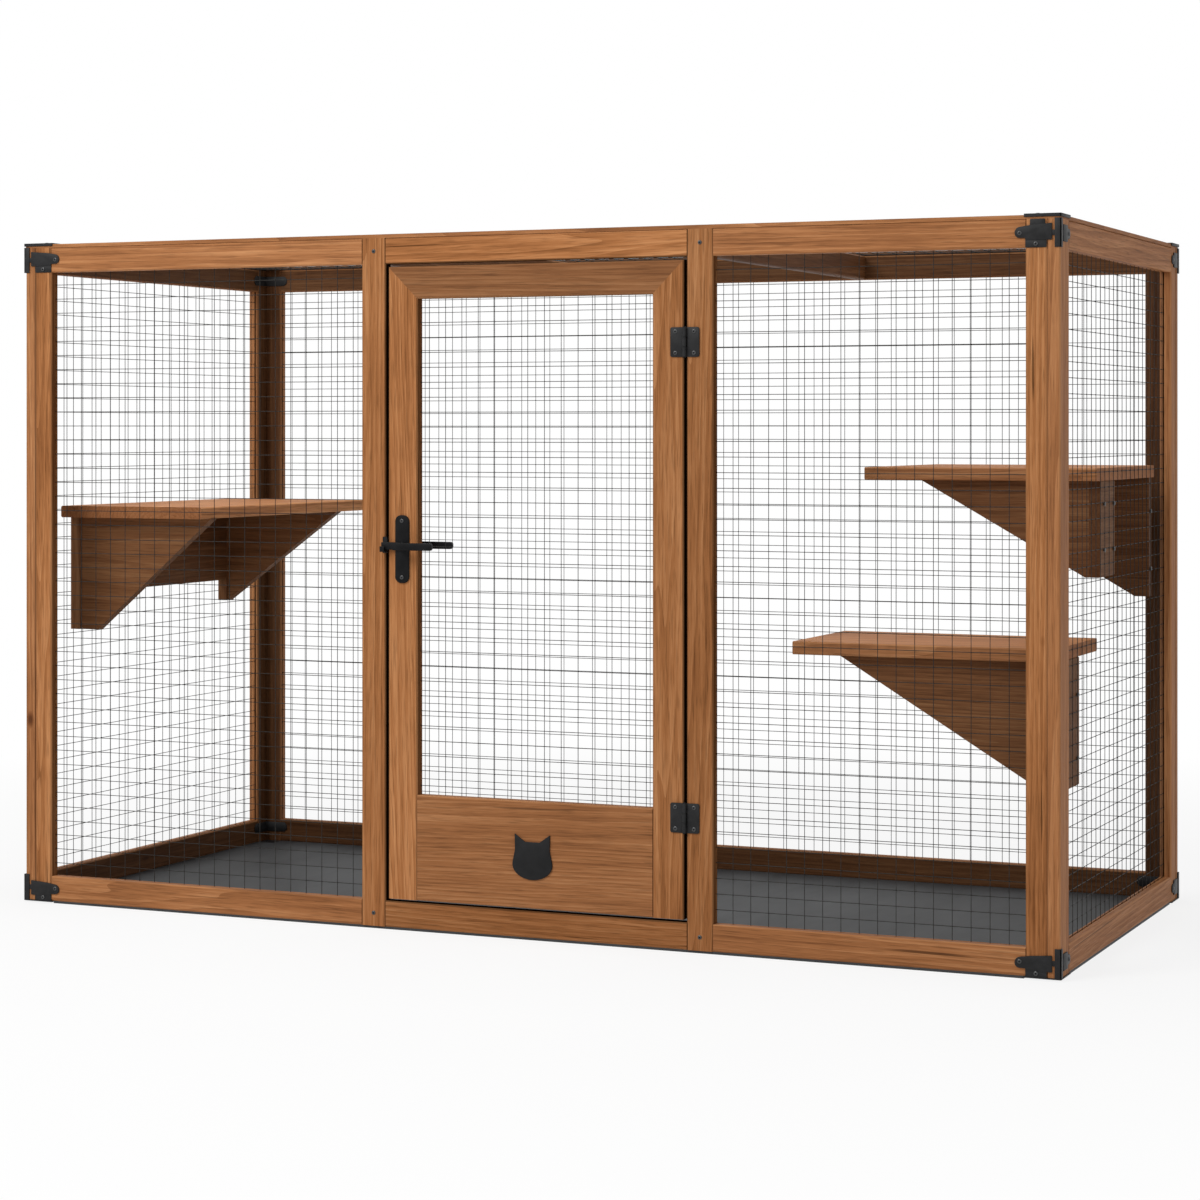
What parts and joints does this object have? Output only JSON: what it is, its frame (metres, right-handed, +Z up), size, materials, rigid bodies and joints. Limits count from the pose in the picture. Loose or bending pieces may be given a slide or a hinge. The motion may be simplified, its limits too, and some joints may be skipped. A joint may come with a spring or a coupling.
{
  "type": "wooden cat cage",
  "caption": "Free-standing cat cage of wire mesh panels in stained timber frames, with a hinged front door, a lever latch, a kick panel and bracketed shelves.",
  "frame": {"origin": "middle of the underside of the floor sheet, on the ground", "axes": "+X to the right along the front, +Y from the front to the back, +Z up"},
  "size_m": [1.8066, 0.8343, 1.1233],
  "materials": {
    "stained_timber": "satin stain",
    "shelf_timber": "satin stain",
    "galvanised_wire": "galvanised",
    "dark_floor": "matte",
    "black_steel": "satin black",
    "black_screw": "satin black",
    "steel_pin": "bright",
    "black_plastic": "matte"
  },
  "bodies": {
    "frame": {"back_bottom_rail": "stained_timber", "back_left_stile": "stained_timber", "back_mesh": "galvanised_wire", "back_right_stile": "stained_timber", "back_top_rail": "stained_timber", "corner_brackets": "black_steel", "door_header": "stained_timber", "door_sill": "stained_timber", "floor_sheet": "dark_floor", "frame_screws": "black_screw", "front_left_bottom_rail": "stained_timber", "front_left_mesh": "galvanised_wire", "front_left_stile": "stained_timber", "front_left_top_rail": "stained_timber", "front_right_bottom_rail": "stained_timber", "front_right_mesh": "galvanised_wire", "front_right_stile": "stained_timber", "front_right_top_rail": "stained_timber", "hinge_pins": "steel_pin", "hinge_post_leaves": "black_steel", "inner_brackets": "black_steel", "latch_keeper": "black_steel", "left_back_stile": "stained_timber", "left_bottom_rail": "stained_timber", "left_door_post": "stained_timber", "left_front_stile": "stained_timber", "left_mesh": "galvanised_wire", "left_shelf_board": "shelf_timber", "left_shelf_cleat": "shelf_timber", "left_shelf_gussets": "shelf_timber", "left_shelf_uprights": "shelf_timber", "left_top_rail": "stained_timber", "lower_shelf_board": "shelf_timber", "lower_shelf_cleat": "shelf_timber", "lower_shelf_gussets": "shelf_timber", "right_back_stile": "stained_timber", "right_bottom_rail": "stained_timber", "right_door_post": "stained_timber", "right_front_stile": "stained_timber", "right_mesh": "galvanised_wire", "right_top_rail": "stained_timber", "roof_beams": "stained_timber", "roof_laths": "stained_timber", "roof_mesh": "galvanised_wire", "upper_shelf_board": "shelf_timber", "upper_shelf_cleat": "shelf_timber", "upper_shelf_gussets": "shelf_timber"},
    "door": {"cat_plaque": "black_plastic", "door_kick_panel": "stained_timber", "door_left_stile": "stained_timber", "door_mesh": "galvanised_wire", "door_right_stile": "stained_timber", "door_screws": "black_screw", "door_top_rail": "stained_timber", "hinge_door_leaves": "black_steel", "latch_plates": "black_steel", "latch_spring": "steel_pin"},
    "latch_lever": {"latch_inner_lever": "black_steel", "latch_outer_lever": "black_steel", "latch_spindle": "steel_pin"}
  },
  "joints": [
    {"name": "door_hinge", "type": "hinge", "parent": "frame", "child": "door", "pos_m": [0.311, -0.4035, 0.57], "axis": [0, 0, 1], "range_deg": [0, 165]},
    {"name": "lever_turn", "type": "hinge", "parent": "door", "child": "latch_lever", "pos_m": [-0.1775, -0.39, 0.618], "axis": [0, 1, 0], "range_deg": [0, 35], "stiffness_Nm_per_rad": 0.4, "springref_deg": -20.05}
  ]
}
